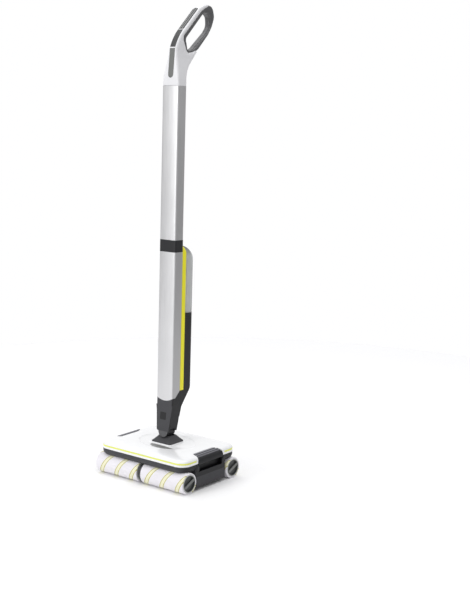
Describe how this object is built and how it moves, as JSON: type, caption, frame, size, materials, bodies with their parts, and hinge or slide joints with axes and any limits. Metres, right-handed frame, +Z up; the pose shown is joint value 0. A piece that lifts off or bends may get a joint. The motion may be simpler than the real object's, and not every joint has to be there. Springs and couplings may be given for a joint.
{
  "type": "wet dry floor scrubber",
  "caption": "Upright cordless wet dry floor scrubber with a flat metal stick, looped handle, rear water tank and a low head on contra-rotating rollers.",
  "frame": {"origin": "on the floor, in the middle of the whole object's footprint, 28.5 mm behind the middle of the floor head", "axes": "+X to the user's right, +Y back towards the user, +Z up"},
  "size_m": [0.3046, 0.2863, 1.2193],
  "materials": {
    "white_gloss": "smooth gloss",
    "accent_lime": "smooth satin",
    "anthracite": "fine-grained satin",
    "band_black": "satin",
    "brushed_aluminium": "fine vertical brushing, clear anodised",
    "frame_yellow": "smooth satin",
    "tank_smoke": "translucent, smooth",
    "fleece": "short microfibre pile with pale yellow bands",
    "core_grey": "moulded, satin",
    "cap_dark": "moulded, satin",
    "soft_rubber": "matt",
    "steel": "ground",
    "bronze": "sintered",
    "motor_steel": "zinc plated",
    "gear_white": "moulded acetal",
    "pinion_brass": "cut",
    "vessel_grey": "moulded",
    "contact_gold": "plated",
    "battery_dark": "moulded",
    "pump_grey": "moulded",
    "hose_clear": "smooth silicone",
    "board_green": "solder mask",
    "handle_white": "satin",
    "key_grey": "fine ribs",
    "panel_grey": "satin",
    "cable_black": "smooth"
  },
  "bodies": {
    "root": {"head_frame": "anthracite", "head_cover": "white_gloss", "cover_accent": "accent_lime", "gearbox_housing": "anthracite", "drive_motor": "motor_steel", "idler_pins": "steel", "shaft_bearings": "bronze", "waste_tank_left": "vessel_grey", "waste_tank_right": "vessel_grey", "scraper_blades": "soft_rubber", "water_bars": "vessel_grey", "charging_contacts": "contact_gold", "joint_bracket": "anthracite", "tilt_pin": "steel", "joint_boot": "soft_rubber", "grip_pins": "steel"},
    "front_drive": {"front_shaft": "steel", "front_shaft_gear": "gear_white"},
    "rear_drive": {"rear_shaft": "steel", "rear_shaft_gear": "gear_white"},
    "motor_rotor": {"motor_pinion": "pinion_brass"},
    "front_idler": {"front_idler_gear": "gear_white"},
    "rear_idler_a": {"rear_idler_gear_a": "gear_white"},
    "rear_idler_b": {"rear_idler_gear_b": "gear_white"},
    "roller_front_left": {"sleeve_front_left": "fleece", "core_front_left": "core_grey", "cap_front_left": "cap_dark"},
    "roller_front_right": {"sleeve_front_right": "fleece", "core_front_right": "core_grey", "cap_front_right": "cap_dark"},
    "roller_rear_left": {"sleeve_rear_left": "fleece", "core_rear_left": "core_grey", "cap_rear_left": "cap_dark"},
    "roller_rear_right": {"sleeve_rear_right": "fleece", "core_rear_right": "core_grey", "cap_rear_right": "cap_dark"},
    "grip_left": {"release_grip_left": "anthracite"},
    "grip_right": {"release_grip_right": "anthracite"},
    "link": {"joint_link": "anthracite"},
    "stick": {"swivel_pin": "steel", "neck_housing": "anthracite", "front_shell": "brushed_aluminium", "rear_housing": "anthracite", "tank_frame": "frame_yellow", "battery_pack": "battery_dark", "water_pump": "pump_grey", "water_hose": "hose_clear", "control_board": "board_green", "coupling_band": "band_black", "tube_spigot": "vessel_grey", "upper_tube": "brushed_aluminium", "handle_shell": "handle_white", "handle_grip": "anthracite", "status_panel": "panel_grey", "handle_cable": "cable_black"},
    "water_tank": {"fresh_tank": "tank_smoke", "tank_base": "anthracite", "valve_seal": "soft_rubber"},
    "power_button": {"power_key": "key_grey"},
    "mode_button": {"mode_key": "key_grey"}
  },
  "joints": [
    {"name": "stick_tilt", "type": "hinge", "parent": "root", "child": "link", "pos_m": [0, -0.0285, 0.1], "axis": [-1, 0, 0], "range_deg": [0, 60], "deforming": ["joint_boot"]},
    {"name": "stick_swivel", "type": "hinge", "parent": "link", "child": "stick", "pos_m": [0, -0.02788, 0.12099], "axis": [0, 0.9996, -0.0297], "range_deg": [-35, 35]},
    {"name": "front_roller_spin", "type": "hinge", "parent": "root", "child": "front_drive", "pos_m": [0, -0.116, 0.0275], "axis": [1, 0, 0], "continuous": true},
    {"name": "front_idler_spin", "type": "hinge", "parent": "root", "child": "front_idler", "pos_m": [0, -0.0785, 0.0275], "axis": [1, 0, 0], "continuous": true},
    {"name": "motor_spin", "type": "hinge", "parent": "root", "child": "motor_rotor", "pos_m": [0, -0.0485, 0.0275], "axis": [1, 0, 0], "continuous": true},
    {"name": "rear_idler_a_spin", "type": "hinge", "parent": "root", "child": "rear_idler_a", "pos_m": [0, -0.0185, 0.0275], "axis": [1, 0, 0], "continuous": true},
    {"name": "rear_idler_b_spin", "type": "hinge", "parent": "root", "child": "rear_idler_b", "pos_m": [0, 0.0215, 0.0275], "axis": [1, 0, 0], "continuous": true},
    {"name": "rear_roller_spin", "type": "hinge", "parent": "root", "child": "rear_drive", "pos_m": [0, 0.059, 0.0275], "axis": [1, 0, 0], "continuous": true},
    {"name": "pull_off_front_left", "type": "slide", "parent": "front_drive", "child": "roller_front_left", "axis": [-1, 0, 0], "range_m": [0, 0.035]},
    {"name": "pull_off_front_right", "type": "slide", "parent": "front_drive", "child": "roller_front_right", "axis": [1, 0, 0], "range_m": [0, 0.035]},
    {"name": "pull_off_rear_left", "type": "slide", "parent": "rear_drive", "child": "roller_rear_left", "axis": [-1, 0, 0], "range_m": [0, 0.035]},
    {"name": "pull_off_rear_right", "type": "slide", "parent": "rear_drive", "child": "roller_rear_right", "axis": [1, 0, 0], "range_m": [0, 0.035]},
    {"name": "release_left", "type": "hinge", "parent": "root", "child": "grip_left", "pos_m": [-0.129, -0.0285, 0.08], "axis": [0, -1, 0], "range_deg": [0, 10], "stiffness_Nm_per_rad": 1.4, "springref_deg": -5.73},
    {"name": "release_right", "type": "hinge", "parent": "root", "child": "grip_right", "pos_m": [0.129, -0.0285, 0.08], "axis": [0, 1, 0], "range_deg": [0, 10], "stiffness_Nm_per_rad": 1.4, "springref_deg": -5.73},
    {"name": "water_tank_lift", "type": "slide", "parent": "stick", "child": "water_tank", "axis": [0, 0.0297, 0.9996], "range_m": [0, 0.04]},
    {"name": "power_press", "type": "slide", "parent": "stick", "child": "power_button", "axis": [0, 0.6858, -0.7278], "range_m": [0, 0.0012], "stiffness_N_per_m": 1500, "springref_m": -0.0006},
    {"name": "mode_press", "type": "slide", "parent": "stick", "child": "mode_button", "axis": [0, 0.8271, -0.5621], "range_m": [0, 0.0012], "stiffness_N_per_m": 1500, "springref_m": -0.0006}
  ],
  "couplings": [
    {"joint": "front_idler_spin", "follows": "front_roller_spin", "ratio": -0.875},
    {"joint": "motor_spin", "follows": "front_roller_spin", "ratio": 1.75},
    {"joint": "rear_idler_a_spin", "follows": "front_roller_spin", "ratio": -0.875},
    {"joint": "rear_idler_b_spin", "follows": "front_roller_spin", "ratio": 0.875},
    {"joint": "rear_roller_spin", "follows": "front_roller_spin", "ratio": -1}
  ]
}
